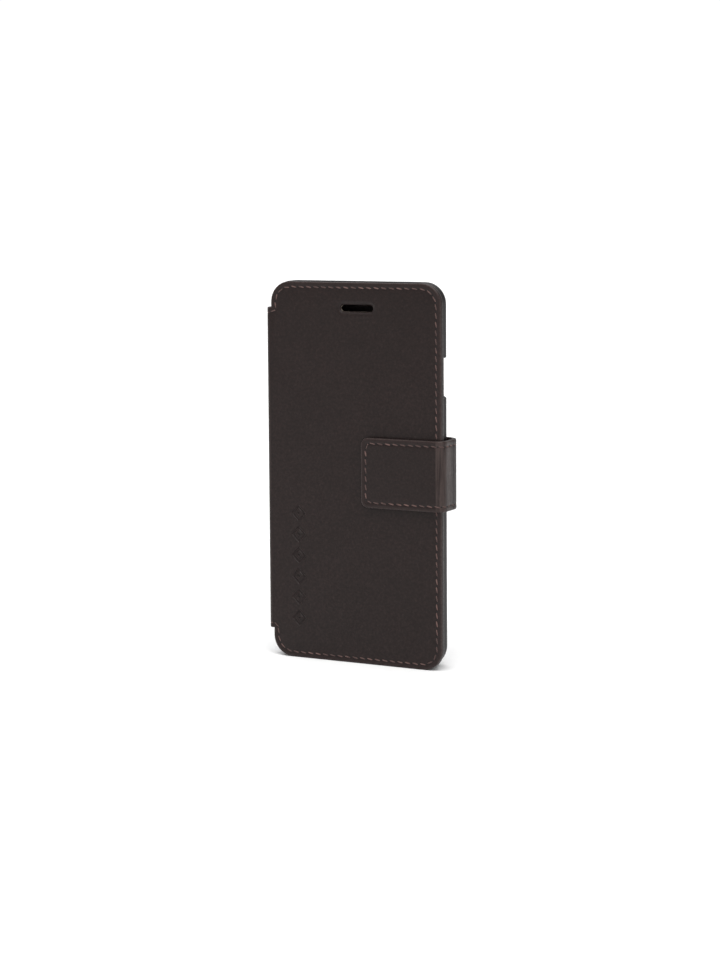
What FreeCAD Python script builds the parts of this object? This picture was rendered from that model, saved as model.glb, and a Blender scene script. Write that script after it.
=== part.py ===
"""Phone wallet case: a snap-in phone tray in a leather folio with a magnetic strap.

Case frame while modelling (mm): X runs from the spine to the strap, Y from the cover's
outer face to the back, Z up the height. The finished parts are shifted so that the
origin lies under the middle of the overall box. Every piece is written to its own file.
"""
import FreeCAD, Part
import math
import os

V = FreeCAD.Vector

# ---- driving dimensions: the cover -------------------------------------------------
cover_overhang = 1.95       # the cover's free edge stands out past the tray's side
cover_short = 0.2           # the tray's top end stands this far above the cover
cover_corner = 7.8
cover_setback = 2.1         # the cover's corners stand this far in from the spine face
hide = 1.0                  # the outer leather
board = 0.4                 # stiffener between the leathers
cover_lining_edge = 1.4     # lining and turned edge around the stiffener
board_inset = 3.6
deboss_depth = 0.2

# ---- driving dimensions: the spine -------------------------------------------------
spine_trim_top = 9.7        # the spine ends this far short of the cover's ends
spine_trim_bottom = 10.4
spine_lining_thick = 0.4
spine_lining_inset = 0.8

# ---- driving dimensions: the phone and its tray ------------------------------------
phone_width = 67.1
phone_height = 138.3
phone_thick = 7.1
phone_play = 0.15           # free space round the phone, each side
phone_bay_corner = 7.0
tray_wall = 1.0
tray_end_wall = 2.0
tray_floor = 1.0
tray_liner = 0.3
tray_corner = 8.0
tray_back_round = 4.0       # round along the tray's back edge
tray_bay_round = 3.0        # round along the bottom of the phone bay
phone_below_rim = 0.5       # the phone's face lies this far under the tray's rim

# ---- driving dimensions: the strap -------------------------------------------------
strap_width = 26.0
strap_above_middle = 1.0    # the strap's middle line over half the cover's height
strap_layer = 0.8           # each of the strap's two leathers
strap_reach = 32.0          # from the free edge of the cover to the strap's tip
strap_corner = 2.8
anchor_reach = 29.0         # from the free edge to the end of the strap on the back
magnet_diameter = 12.0
magnet_thick = 1.0
magnet_from_tip = 10.0
catch_width = 16.0
catch_height = 18.0

# ---- driving dimensions: openings for the phone's own parts ------------------------
slot_width = 13.4           # earpiece slot in the cover
slot_height = 2.5
slot_below_phone_top = 7.65
slot_off_middle = 1.95      # from the phone's middle line towards the free edge
button_top = 24.95          # power button opening, measured down from the phone's top
button_bottom = 40.85
button_flare = 1.4          # the opening is longer outside than inside, at each end
button_depth = 3.6          # how far in from the tray's side the opening reaches
volume_top = 15.0           # mute switch and volume opening, under the spine
volume_bottom = 52.0
volume_back_wall = 0.6      # tray left between that opening and the bay's floor
rim_strip = 1.6             # tray wall left in front of each side opening
port_width = 16.0           # middle opening at the bottom
port_web = 3.2              # walls left between the bottom openings
port_end_inset = 2.9        # the outer openings end this far in from the tray's sides
port_back_lip = 1.0         # tray left behind each bottom opening
port_into_bay = 3.0         # how far the bottom openings reach up past the end wall
camera_width = 19.6
camera_height = 11.0
camera_from_side = 5.8
camera_below_top = 5.4
camera_margin = 0.6         # the leather's hole is larger than the tray's, all round

# ---- driving dimensions: pockets ---------------------------------------------------
pocket_sheet = 0.2
pocket_count = 3
pocket_side_gap = 4.4       # from the phone bay's wall to the pockets' spine side
pocket_free_gap = 1.6
pocket_bottom = 7.0
pocket_below_slot = 10.8    # from the earpiece slot's middle down to the cash pocket's mouth
pocket_first_drop = 8.0     # from the cash pocket's mouth down to the first card pocket's
pocket_step = 14.5          # from each card pocket's mouth down to the next
pocket_corner = 2.5

# ---- driving dimensions: thread ----------------------------------------------------
stitch_pitch = 3.14
stitch_length = 2.35
stitch_thick = 0.55
stitch_height = 0.2
stitch_slant = 14.0         # degrees off the seam
seam_inset = 2.0
spine_row_inset = 1.8       # the rows across the spine, in from its ends
seam_start = 0.6            # first stitch after a fold or an edge
pocket_seam_inset = 1.4

# ---- driving dimensions: the pressed ornament --------------------------------------
ornament_from_spine = 13.3
ornament_bottom = 11.1
ornament_length = 48.0
ornament_width = 6.5
ornament_count = 6
ornament_gap = 1.3

# ---- clearances --------------------------------------------------------------------
body_gap = 0.3              # between pieces that move past each other
spine_gap = 0.25
strap_lift = 0.5            # the strap's lining over the cover's face and thread
panel_overhang = 1.2        # back leather past the start of the tray's back round

# ---- worked out --------------------------------------------------------------------
cover_thick = hide + cover_lining_edge
fold = hide / 2
spine_thick = hide + spine_lining_thick
rim_y = cover_thick + stitch_height + body_gap
liner_y = rim_y + phone_below_rim + phone_thick
floor_y = liner_y + tray_liner
tray_back_y = floor_y + tray_floor
back_y = tray_back_y + hide
tray_left = spine_thick + spine_gap
bay_left = tray_left + tray_wall
bay_right = bay_left + phone_width + 2 * phone_play
tray_right = bay_right + tray_wall
bay_bottom = tray_end_wall
bay_top = bay_bottom + phone_height + 2 * phone_play
tray_top = bay_top + tray_end_wall
phone_top = bay_top - phone_play
phone_middle = (bay_left + bay_right) / 2
cover_height = tray_top - cover_short
cover_width = tray_right + cover_overhang
spine_bottom = spine_trim_bottom
spine_top = cover_height - spine_trim_top
spine_rows = (spine_bottom + spine_row_inset, spine_top - spine_row_inset)
strap_half = strap_layer
strap_inner_x = cover_width + body_gap
side_fold_x = strap_inner_x + strap_half
tip_fold_y = -strap_lift - strap_half
side_fold_y = back_y + strap_half
knuckle_gap = strap_half + body_gap
strap_middle = cover_height / 2 + strap_above_middle
strap_bottom = strap_middle - strap_width / 2
strap_top = strap_middle + strap_width / 2
tip_left = cover_width - strap_reach
anchor_left = cover_width - anchor_reach
magnet_x = tip_left + magnet_from_tip
slot_x = phone_middle + slot_off_middle
slot_z = phone_top - slot_below_phone_top
pocket_left = bay_left + pocket_side_gap
pocket_right = bay_right - pocket_free_gap
cash_pocket_top = slot_z - pocket_below_slot
far = 40.0                  # longer than any cut needs to be
past = 1.0                  # how far a cut runs past a face that it opens

# ---- the shift that puts the origin under the middle of the box --------------------
left_x = -stitch_height
right_x = strap_inner_x + 2 * strap_layer + stitch_height
front_y = tip_fold_y - strap_half - stitch_height
rear_y = side_fold_y + strap_half + stitch_height
to_origin = V(-(left_x + right_x) / 2, -(front_y + rear_y) / 2, 0)


def box(x0, x1, y0, y1, z0, z1):
    """A block between two corners."""
    return Part.makeBox(x1 - x0, y1 - y0, z1 - z0, V(x0, y0, z0))


def outline(x0, x1, z0, z1, left_radius, right_radius, y=0.0):
    """A closed wire in a plane of constant Y, with round corners on either side."""
    quarter = math.sqrt(0.5)
    edges = []
    corners = [(x0, z0, left_radius, 1, 1), (x1, z0, right_radius, -1, 1),
               (x1, z1, right_radius, -1, -1), (x0, z1, left_radius, 1, -1)]
    ends = []
    for number, (x, z, radius, into_x, into_z) in enumerate(corners):
        along_z = V(x, y, z + into_z * radius)
        along_x = V(x + into_x * radius, y, z)
        first, last = (along_z, along_x) if number % 2 == 0 else (along_x, along_z)
        ends.append((first, last))
        if radius > 0:
            reach = radius * (1 - quarter)
            middle = V(x + into_x * reach, y, z + into_z * reach)
            edges.append((number, Part.Arc(first, middle, last).toShape()))
    for number in range(4):
        start = ends[number][1]
        stop = ends[(number + 1) % 4][0]
        edges.append((number + 0.5, Part.LineSegment(start, stop).toShape()))
    edges.sort(key=lambda pair: pair[0])
    return Part.Wire([edge for _, edge in edges])


def plate(x0, x1, z0, z1, y0, y1, radius, right_radius=None):
    """A flat sheet with round corners, from y0 to y1."""
    other = radius if right_radius is None else right_radius
    wire = outline(x0, x1, z0, z1, radius, other, y0)
    return Part.Face(wire).extrude(V(0, y1 - y0, 0))


def slot(width, height, x, z, y0, y1):
    """A round-ended slot through a sheet."""
    end = 0.999 * height / 2
    return plate(x - width / 2, x + width / 2, z - height / 2, z + height / 2, y0, y1, end)


def knuckle(x, y, radius, z0, z1):
    """The round fold of a leather, standing on a vertical fold line."""
    return Part.makeCylinder(radius, z1 - z0, V(x, y, z0))


def back_rounded(solid, y, radius):
    """Rounds every edge that lies in the plane of constant Y."""
    edges = [edge for edge in solid.Edges
             if abs(edge.BoundBox.YMin - y) < 1e-6 and abs(edge.BoundBox.YMax - y) < 1e-6]
    return solid.makeFillet(radius, edges)


def stitches(wire, normal):
    """Slanted stitches along a wire, lying on the face that the normal points out of."""
    number = max(1, round(wire.Length / stitch_pitch))
    points = wire.discretize(number + 1)
    made = []
    for start, stop in zip(points, points[1:]):
        along = (stop - start).normalize()
        across = normal.cross(along)
        turn = FreeCAD.Rotation(normal, stitch_slant)
        length_axis = turn.multVec(along)
        width_axis = turn.multVec(across)
        block = Part.makeBox(stitch_length, stitch_thick, stitch_height,
                             V(-stitch_length / 2, -stitch_thick / 2, 0))
        place = FreeCAD.Placement()
        place.Rotation = FreeCAD.Rotation(length_axis, width_axis, normal, "XZY")
        place.Base = (start + stop) * 0.5
        block.Placement = place
        made.append(block)
    return made


def run(*points):
    """A wire of straight stretches through the given points."""
    return Part.makePolygon([V(*point) for point in points])


def seam_wire(y, start_x):
    """The cover's seam: from the spine, round the free side, back to the spine."""
    low, high = spine_rows
    left = cover_setback + seam_inset
    right = cover_width - seam_inset
    bottom = seam_inset
    top = cover_height - seam_inset
    radius = cover_corner - seam_inset
    reach = radius * (1 - math.sqrt(0.5))

    def corner(x, z, into_x, into_z, first_along_z):
        side = V(x, y, z + into_z * radius)
        flat = V(x + into_x * radius, y, z)
        middle = V(x + into_x * reach, y, z + into_z * reach)
        ends = (side, flat) if first_along_z else (flat, side)
        return ends, Part.Arc(ends[0], middle, ends[1]).toShape()

    corners = [corner(left, bottom, 1, 1, True), corner(right, bottom, -1, 1, False),
               corner(right, top, -1, -1, True), corner(left, top, 1, -1, False)]
    edges = [Part.LineSegment(V(start_x, y, low), V(left, y, low)).toShape()]
    here = V(left, y, low)
    for (start, stop), arc in corners:
        edges.append(Part.LineSegment(here, start).toShape())
        edges.append(arc)
        here = stop
    edges.append(Part.LineSegment(here, V(left, y, high)).toShape())
    edges.append(Part.LineSegment(V(left, y, high), V(start_x, y, high)).toShape())
    return Part.Wire(edges)


# ---- the cover ---------------------------------------------------------------------
def cover_blank(y0, y1):
    """The cover's outline between the spine and the free edge."""
    return plate(cover_setback, cover_width, 0, cover_height, y0, y1, cover_corner)


def board_blank():
    """The stiffener's outline, inside the seam."""
    inset = board_inset
    return plate(cover_setback + inset, cover_width - inset, inset, cover_height - inset,
                 hide, hide + board, cover_corner - inset)


def catch_blank():
    """The steel plate that the strap's magnet takes hold of."""
    return box(magnet_x - catch_width / 2, magnet_x + catch_width / 2, hide, hide + board,
               strap_middle - catch_height / 2, strap_middle + catch_height / 2)


def earpiece_cut():
    """The slot over the phone's earpiece, right through the cover."""
    return slot(slot_width, slot_height, slot_x, slot_z, -far, far)


def ornament_cuts():
    """A row of pressed lozenges beside the spine."""
    pitch = ornament_length / ornament_count
    half_long = (pitch - ornament_gap) / 2
    half_wide = ornament_width / 2
    cuts = []
    for number in range(ornament_count):
        z = ornament_bottom + pitch * (number + 0.5)
        x = ornament_from_spine
        wire = run((x - half_wide, -past, z), (x, -past, z - half_long),
                   (x + half_wide, -past, z), (x, -past, z + half_long),
                   (x - half_wide, -past, z))
        cuts.append(Part.Face(wire).extrude(V(0, past + deboss_depth, 0)))
    return cuts


def make_cover_leather():
    """Outer leather with the fold, the earpiece slot and the pressed ornament."""
    flap = box(fold, cover_setback + cover_corner, 0, hide, spine_bottom, spine_top)
    fold_round = knuckle(fold, fold, fold, spine_bottom, spine_top)
    leather = cover_blank(0, hide).fuse([flap, fold_round]).removeSplitter()
    return leather.cut([earpiece_cut()] + ornament_cuts())


def make_cover_board():
    """Stiffener, cut out for the slot and for the steel plate."""
    return board_blank().cut([earpiece_cut(), catch_blank()])


def make_cover_lining():
    """Inner leather, turned round the stiffener."""
    return cover_blank(hide, cover_thick).cut([board_blank(), earpiece_cut()])


def pocket_top(number):
    """The height of a card pocket's mouth; pocket 0 lies next to the cash pocket."""
    return cash_pocket_top - pocket_first_drop - pocket_step * number


def pocket_panel(top, layer):
    """One sheet of the pocket stack, counted outwards from the lining."""
    y = cover_thick + layer * pocket_sheet
    return plate(pocket_left, pocket_right, pocket_bottom, top, y, y + pocket_sheet,
                 pocket_corner)


def make_pocket_stitches():
    """Rows down both sides of the pockets, on the sheet that shows, and along the foot."""
    left = pocket_left + pocket_seam_inset
    right = pocket_right - pocket_seam_inset
    foot = pocket_bottom + pocket_seam_inset
    tops = [cash_pocket_top] + [pocket_top(number) for number in range(pocket_count)]
    rows = []
    for layer, top in enumerate(tops):
        y = cover_thick + (layer + 1) * pocket_sheet
        below = tops[layer + 1] if layer + 1 < len(tops) else foot
        for x in (left, right):
            ends = run((x, y, below + seam_start), (x, y, top - seam_start))
            rows += stitches(ends, V(0, 1, 0))
    y = cover_thick + len(tops) * pocket_sheet
    foot_row = run((left + pocket_corner, y, foot), (right - pocket_corner, y, foot))
    rows += stitches(foot_row, V(0, 1, 0))
    return Part.makeCompound(rows)


def make_cover_stitches():
    """The same seam seen on the cover's outer face and on its lining."""
    outside = stitches(seam_wire(0, 2 * fold + seam_start), V(0, -1, 0))
    inside = stitches(seam_wire(cover_thick, cover_setback + seam_start), V(0, 1, 0))
    return Part.makeCompound(outside + inside)


# ---- the spine ---------------------------------------------------------------------
spine_front = fold + fold + body_gap
spine_rear = back_y - fold - fold - body_gap


def make_spine_leather():
    """The outer leather between the two folds."""
    return box(0, hide, spine_front, spine_rear, spine_bottom, spine_top)


def make_spine_lining():
    """The thin lining inside the spine."""
    inset = spine_lining_inset
    return box(hide, spine_thick, spine_front + inset, spine_rear - inset,
               spine_bottom + inset, spine_top - inset)


def make_spine_stitches():
    """One short row across each end of the spine."""
    rows = []
    for z in spine_rows:
        row = run((0, spine_front + seam_start / 2, z), (0, spine_rear - seam_start / 2, z))
        rows += stitches(row, V(-1, 0, 0))
    return Part.makeCompound(rows)


# ---- the tray and what is fixed to it ----------------------------------------------
def button_cut():
    """Opening round the power button, longer outside than inside."""
    top = phone_top - button_top
    bottom = phone_top - button_bottom
    x_in = tray_right - button_depth
    x_out = tray_right + past
    wire = run((x_out, 0, bottom), (x_out, 0, top), (x_in, 0, top - button_flare),
               (x_in, 0, bottom + button_flare), (x_out, 0, bottom))
    prism = Part.Face(wire).extrude(V(0, far, 0))
    prism.translate(V(0, rim_y + rim_strip, 0))
    return prism


def volume_cut():
    """Opening for the mute switch and the volume buttons, under the spine."""
    return box(-far, bay_left + past, rim_y + rim_strip, floor_y - volume_back_wall,
               phone_top - volume_bottom, phone_top - volume_top)


def port_cuts():
    """Three openings side by side at the bottom: jack, connector and speaker."""
    first = tray_left + port_end_inset
    last = tray_right - port_end_inset
    spans = [(first, phone_middle - port_width / 2 - port_web),
             (phone_middle - port_width / 2, phone_middle + port_width / 2),
             (phone_middle + port_width / 2 + port_web, last)]
    rear = floor_y - port_back_lip
    return [box(x0, x1, rim_y + rim_strip, rear, -past, bay_bottom + port_into_bay)
            for x0, x1 in spans]


def camera_cut(margin=0.0):
    """Round-ended hole for the phone's rear camera."""
    x = bay_right - camera_from_side - camera_width / 2
    z = bay_top - camera_below_top - camera_height / 2
    return slot(camera_width + 2 * margin, camera_height + 2 * margin, x, z, rim_y, far)


def make_phone_tray():
    """The moulded tray: a shallow dish with the phone bay and its openings."""
    outside = plate(tray_left, tray_right, 0, tray_top, rim_y, tray_back_y, tray_corner)
    outside = back_rounded(outside, tray_back_y, tray_back_round)
    bay = plate(bay_left, bay_right, bay_bottom, bay_top, rim_y - past, floor_y,
                phone_bay_corner)
    bay = back_rounded(bay, floor_y, tray_bay_round)
    return outside.cut([bay, button_cut(), volume_cut(), camera_cut()] + port_cuts())


def make_tray_liner():
    """Soft pad on the floor of the phone bay."""
    inset = tray_bay_round
    pad = plate(bay_left + inset, bay_right - inset, bay_bottom + inset, bay_top - inset,
                liner_y, floor_y, phone_bay_corner - inset)
    return pad.cut([camera_cut(camera_margin), button_cut()])


def make_back_leather():
    """Leather on the tray's back, with the flap that runs to the spine fold."""
    inset = tray_back_round - panel_overhang
    panel = plate(tray_left + inset, tray_right - inset, inset, tray_top - inset,
                  tray_back_y, back_y, tray_corner - inset)
    flap = box(fold, tray_left + tray_corner, tray_back_y, back_y, spine_bottom, spine_top)
    fold_round = knuckle(fold, back_y - fold, fold, spine_bottom, spine_top)
    leather = panel.fuse([flap, fold_round]).removeSplitter()
    return leather.cut(camera_cut(camera_margin))


def make_back_stitches():
    """The seam round the back leather, with short rows over the flap's ends."""
    inset = tray_back_round - panel_overhang + seam_inset
    corner = tray_corner - inset
    wire = outline(tray_left + inset, tray_right - inset, inset, tray_top - inset,
                   corner, corner, back_y)
    under_strap = box(anchor_left - seam_start, cover_width, -far, far,
                      strap_bottom - seam_start, strap_top + seam_start)
    rows = [stitch for stitch in stitches(wire, V(0, 1, 0))
            if stitch.common(under_strap).Volume == 0]
    for z in spine_rows:
        row = run((2 * fold + seam_start, back_y, z), (tray_left + inset - seam_start, back_y, z))
        rows += stitches(row, V(0, 1, 0))
    return Part.makeCompound(rows)


# ---- the strap ---------------------------------------------------------------------
def strap_sheet(x0, x1, y0, y1):
    """A strap leather with round corners on its spine side and a square fold side."""
    return plate(x0, x1, strap_bottom, strap_top, y0, y1, strap_corner, 0)


def magnet_blank():
    """The magnet in the strap's tip, between the two leathers."""
    start = V(magnet_x, tip_fold_y - magnet_thick / 2, strap_middle)
    return Part.makeCylinder(magnet_diameter / 2, magnet_thick, start, V(0, 1, 0))


def make_anchor_leather():
    """The strap's outer leather on the back, out to the side fold."""
    sheet = strap_sheet(anchor_left, side_fold_x, side_fold_y, side_fold_y + strap_layer)
    fold_round = knuckle(side_fold_x, side_fold_y, strap_half, strap_bottom, strap_top)
    return sheet.fuse(fold_round).removeSplitter()


def make_anchor_lining():
    """The strap's lining on the back, against the back leather."""
    return strap_sheet(anchor_left, side_fold_x - strap_half, back_y, side_fold_y)


def make_side_leather():
    """The strap's outer leather across the free side, with the tip's fold."""
    sheet = box(side_fold_x, side_fold_x + strap_layer, tip_fold_y,
                side_fold_y - knuckle_gap, strap_bottom, strap_top)
    fold_round = knuckle(side_fold_x, tip_fold_y, strap_half, strap_bottom, strap_top)
    return sheet.fuse(fold_round).removeSplitter()


def make_side_lining():
    """The strap's lining across the free side."""
    return box(strap_inner_x, side_fold_x, tip_fold_y + strap_half,
               side_fold_y - knuckle_gap, strap_bottom, strap_top)


def make_tip_leather():
    """The strap's outer leather over the cover."""
    sheet = strap_sheet(tip_left, side_fold_x - knuckle_gap, tip_fold_y - strap_layer,
                        tip_fold_y)
    return sheet.cut(magnet_blank())


def make_tip_lining():
    """The strap's lining over the cover."""
    sheet = strap_sheet(tip_left, side_fold_x - knuckle_gap, tip_fold_y,
                        tip_fold_y + strap_layer)
    return sheet.cut(magnet_blank())


def strap_seam(x0, x1, y):
    """A seam along both long edges and round the end of a strap leather."""
    low = strap_bottom + seam_inset
    high = strap_top - seam_inset
    return run((x1, y, low), (x0 + seam_inset, y, low), (x0 + seam_inset, y, high),
               (x1, y, high))


def make_anchor_stitches():
    """The seam that holds the strap to the back leather, closed across its fold side."""
    y = side_fold_y + strap_layer
    last = tray_right - tray_back_round - seam_inset
    rows = stitches(strap_seam(anchor_left, last + stitch_pitch, y), V(0, 1, 0))
    cross = run((last, y, strap_bottom + 2 * seam_inset),
                (last, y, strap_top - 2 * seam_inset))
    return Part.makeCompound(rows + stitches(cross, V(0, 1, 0)))


def make_side_stitches():
    """The strap's two rows across the free side."""
    x = side_fold_x + strap_layer
    rows = []
    for z in (strap_bottom + seam_inset, strap_top - seam_inset):
        row = run((x, tip_fold_y + seam_start, z), (x, side_fold_y - knuckle_gap, z))
        rows += stitches(row, V(1, 0, 0))
    return Part.makeCompound(rows)


def make_tip_stitches():
    """The seam round the strap's tip."""
    y = tip_fold_y - strap_layer
    wire = strap_seam(tip_left, side_fold_x - knuckle_gap - seam_start, y)
    return Part.makeCompound(stitches(wire, V(0, -1, 0)))


def make_all():
    """Every node by name."""
    nodes = {
        "phone_tray": make_phone_tray(),
        "tray_liner": make_tray_liner(),
        "back_leather": make_back_leather(),
        "back_stitches": make_back_stitches(),
        "strap_anchor_leather": make_anchor_leather(),
        "strap_anchor_lining": make_anchor_lining(),
        "strap_anchor_stitches": make_anchor_stitches(),
        "spine_leather": make_spine_leather(),
        "spine_lining": make_spine_lining(),
        "spine_stitches": make_spine_stitches(),
        "cover_leather": make_cover_leather(),
        "cover_board": make_cover_board(),
        "cover_lining": make_cover_lining(),
        "catch_plate": catch_blank(),
        "cover_stitches": make_cover_stitches(),
        "cash_pocket": pocket_panel(cash_pocket_top, 0),
        "pocket_stitches": make_pocket_stitches(),
        "strap_side_leather": make_side_leather(),
        "strap_side_lining": make_side_lining(),
        "strap_side_stitches": make_side_stitches(),
        "strap_tip_leather": make_tip_leather(),
        "strap_tip_lining": make_tip_lining(),
        "strap_magnet": magnet_blank(),
        "strap_tip_stitches": make_tip_stitches(),
    }
    for number in range(pocket_count):
        nodes["card_pocket_%d" % (number + 1)] = pocket_panel(pocket_top(number), number + 1)
    return nodes


os.makedirs("parts", exist_ok=True)
parts = make_all()
for name, shape in parts.items():
    shape.translate(to_origin)
    shape.exportStep("parts/%s.step" % name)
    print("%-24s solids %3d  volume %9.2f mm3" % (name, len(shape.Solids), shape.Volume))
print("pieces:", len(parts))
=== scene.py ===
"""Phone wallet case: leather folio, strap, pockets, tray and thread around its frame."""
import math

import bmesh
import bpy
from mathutils import Matrix, Vector, noise
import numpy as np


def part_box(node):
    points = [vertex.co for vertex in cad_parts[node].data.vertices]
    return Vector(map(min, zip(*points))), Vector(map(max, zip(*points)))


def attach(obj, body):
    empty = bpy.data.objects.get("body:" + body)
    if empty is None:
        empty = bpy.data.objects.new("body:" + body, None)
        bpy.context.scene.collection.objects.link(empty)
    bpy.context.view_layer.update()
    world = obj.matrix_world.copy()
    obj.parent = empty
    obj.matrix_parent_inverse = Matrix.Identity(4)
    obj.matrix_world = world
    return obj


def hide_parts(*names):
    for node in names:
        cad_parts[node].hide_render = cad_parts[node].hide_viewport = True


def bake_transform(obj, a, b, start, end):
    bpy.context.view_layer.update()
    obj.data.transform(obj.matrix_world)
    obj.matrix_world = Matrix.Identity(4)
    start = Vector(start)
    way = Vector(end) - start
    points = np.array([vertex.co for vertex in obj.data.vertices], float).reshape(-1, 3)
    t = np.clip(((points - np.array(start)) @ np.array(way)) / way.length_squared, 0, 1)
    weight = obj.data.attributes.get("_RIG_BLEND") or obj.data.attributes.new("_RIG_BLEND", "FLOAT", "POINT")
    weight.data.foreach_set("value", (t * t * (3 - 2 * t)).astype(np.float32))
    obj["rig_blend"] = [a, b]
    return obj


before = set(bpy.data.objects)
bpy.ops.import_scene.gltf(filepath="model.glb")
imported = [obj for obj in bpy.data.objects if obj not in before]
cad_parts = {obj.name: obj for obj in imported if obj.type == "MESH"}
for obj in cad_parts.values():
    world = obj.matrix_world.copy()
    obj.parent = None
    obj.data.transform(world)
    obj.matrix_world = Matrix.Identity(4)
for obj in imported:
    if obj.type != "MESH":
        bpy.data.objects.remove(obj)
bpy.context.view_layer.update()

bl_info = {
    "name": "Phone Wallet Case",
    "version": (1, 0, 0),
    "blender": (4, 5, 0),
    "location": "3D View > Sidebar > Wallet Case",
    "description": "Builds a leather phone wallet case around its packed frame",
    "category": "Object",
}

MM = 0.001
QUARTER_TURN = math.pi / 2
SAME_DISTANCE = 1e-6
# rub lightens bends, partly as wear and partly as a painted highlight
# seam darkens seam grooves and the strap's wrinkles as painted shade
LAYERS = ("rim", "margin", "seam", "raw", "rub_and_sheen")


# ---- places taken from the frame
COVER_LOW, COVER_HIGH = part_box("cover_leather")
BACK_LOW, BACK_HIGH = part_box("back_leather")
SPINE_LOW, SPINE_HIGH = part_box("spine_leather")
SPINE_LINING_LOW, SPINE_LINING_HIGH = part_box("spine_lining")
LINING_LOW, LINING_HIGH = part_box("cover_lining")
TRAY_LOW, TRAY_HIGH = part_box("phone_tray")
TIP_LOW, TIP_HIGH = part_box("strap_tip_leather")
SIDE_LOW, SIDE_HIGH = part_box("strap_side_leather")
ANCHOR_LOW, ANCHOR_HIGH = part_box("strap_anchor_leather")
ANCHOR_LINING_LOW, ANCHOR_LINING_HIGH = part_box("strap_anchor_lining")
CASH_LOW, CASH_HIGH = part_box("cash_pocket")
CARD_BOXES = [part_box("card_pocket_%d" % number) for number in (1, 2, 3)]
HIDE = SPINE_HIGH.x - SPINE_LOW.x
STRAP_LAYER = ANCHOR_LINING_HIGH.y - ANCHOR_LINING_LOW.y
COVER_LEFT = LINING_LOW.x
BACK_PANEL_LEFT = TRAY_LOW.x + TRAY_HIGH.x - BACK_HIGH.x


# ---- sizes and colours that a user would change
def length(name, description, millimetres):
    """A length, kept in metres."""
    return bpy.props.FloatProperty(name=name, description=description, min=0.0,
                                   default=millimetres * MM, unit="LENGTH", precision=5)


def colour(name, description, default):
    """A surface colour."""
    return bpy.props.FloatVectorProperty(name=name, description=description,
                                         default=default, size=3, min=0.0, max=1.0,
                                         subtype="COLOR")


class CaseSizes(bpy.types.PropertyGroup):
    """Sizes of the case's looks."""
    cover_corner: length("Cover corner", "Radius of the cover's corners", 7.8)
    back_corner: length("Back corner", "Radius of the back panel's corners", 5.2)
    spine_round: length("Spine round", "Leather's round at the spine's folds", 1.6)
    strap_round: length("Strap round", "Strap's round at its front fold", 3.0)
    strap_back_round: length("Strap back round", "Strap's round over the tray's edge", 7.0)
    strap_corner: length("Strap corner", "Radius of the strap's end corners", 2.8)
    seam_inset: length("Seam inset", "From a leather's edge to its seam", 2.0)
    groove_depth: length("Seam groove", "How deep thread pulls leather in", 0.14)
    stitch_pitch: length("Stitch pitch", "From stitch to stitch", 3.14)
    stitch_length: length("Stitch length", "Length of one visible stitch", 2.75)
    stitch_width: length("Thread width", "Width of the sewing thread", 0.56)
    stitch_slant: bpy.props.FloatProperty(
        name="Stitch slant", description="Turn of each stitch off its seam",
        default=math.radians(13.0), subtype="ANGLE")
    slot_width: length("Earpiece slot width", "Width of the cover's slot", 13.4)
    slot_height: length("Earpiece slot height", "Height of the cover's slot", 2.5)
    slot_lip: length("Slot lip", "Width of the pressed lip round the slot", 1.5)
    slot_from_edge: length("Slot from free edge", "From the free edge to the slot", 34.7)
    slot_from_top: length("Slot from top", "From the cover's top to the slot", 9.6)
    camera_from_side: length("Camera from side", "From the tray's side to the hole", 16.6)
    camera_from_top: length("Camera from top", "From the tray's top to the hole", 12.9)
    camera_width: length("Camera hole width", "Width of the camera hole", 20.8)
    camera_height: length("Camera hole height", "Height of the camera hole", 12.2)
    ornament_from_spine: length("Ornament from spine", "Middle of the pressed lozenges", 13.3)
    ornament_bottom: length("Ornament bottom", "Foot of the row of lozenges", 11.1)
    ornament_length: length("Ornament length", "Length of the row of lozenges", 48.0)
    ornament_width: length("Ornament width", "Width of the lozenges", 6.5)
    ornament_gap: length("Ornament gap", "Gap from lozenge to lozenge", 1.3)
    ornament_count: bpy.props.IntProperty(
        name="Ornament count", description="Number of pressed lozenges", default=6, min=1)


class CaseColours(bpy.types.PropertyGroup):
    """Colours of the case's materials."""
    hide: colour("Hide", "Outer leather", (0.0140, 0.0080, 0.0072))
    hide_warm: colour("Hide mottle", "Warmer patches of the leather", (0.0180, 0.0102, 0.0094))
    # lightens edges and bends as wear; along the strap's bend it also stands for a painted highlight
    hide_worn_and_sheen: colour("Worn hide", "Leather rubbed at edges and bends", (0.0680, 0.0470, 0.0430))
    hide_cut: colour("Burnished edge", "Cut leather edges", (0.0090, 0.0060, 0.0055))
    lining: colour("Lining", "Inner leather", (0.0170, 0.0105, 0.0095))
    thread: colour("Thread", "Sewing thread", (0.105, 0.062, 0.056))
    tray: colour("Tray", "Moulded tray", (0.0080, 0.0050, 0.0056))
    pad: colour("Pad", "Microfibre pad on the tray's floor", (0.030, 0.022, 0.021))
    stage: colour("Stage", "Pale floor", (0.86, 0.86, 0.86))


def sizes():
    """The sizes kept with the scene."""
    return bpy.context.scene.case_sizes


def colours():
    """The colours kept with the scene."""
    return bpy.context.scene.case_colours


# ---- materials
# how strongly each surface mirrors
HIDE_SHINE = 0.22
THREAD_SHINE = 0.35
TRAY_SHINE = 0.28
# details per metre
PATCHES = 55.0
WAVES = 130.0
STREAKS = 900.0
SPECKLE = 1100.0
CELLS = 2300.0
PORES = 3600.0
THREAD_DRIFT = 260.0
THREAD_FUZZ = 5200.0


def add_node(tree, kind, sockets=None, **settings):
    """Adds a node; a socket is given a value or the socket that feeds it."""
    made = tree.nodes.new(kind)
    for key, value in settings.items():
        setattr(made, key, value)
    for key, value in (sockets or {}).items():
        if isinstance(value, bpy.types.NodeSocket):
            tree.links.new(value, made.inputs[key])
        else:
            made.inputs[key].default_value = value
    return made


def rgba(value):
    """A colour with full alpha."""
    return (value[0], value[1], value[2], 1.0)


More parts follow.
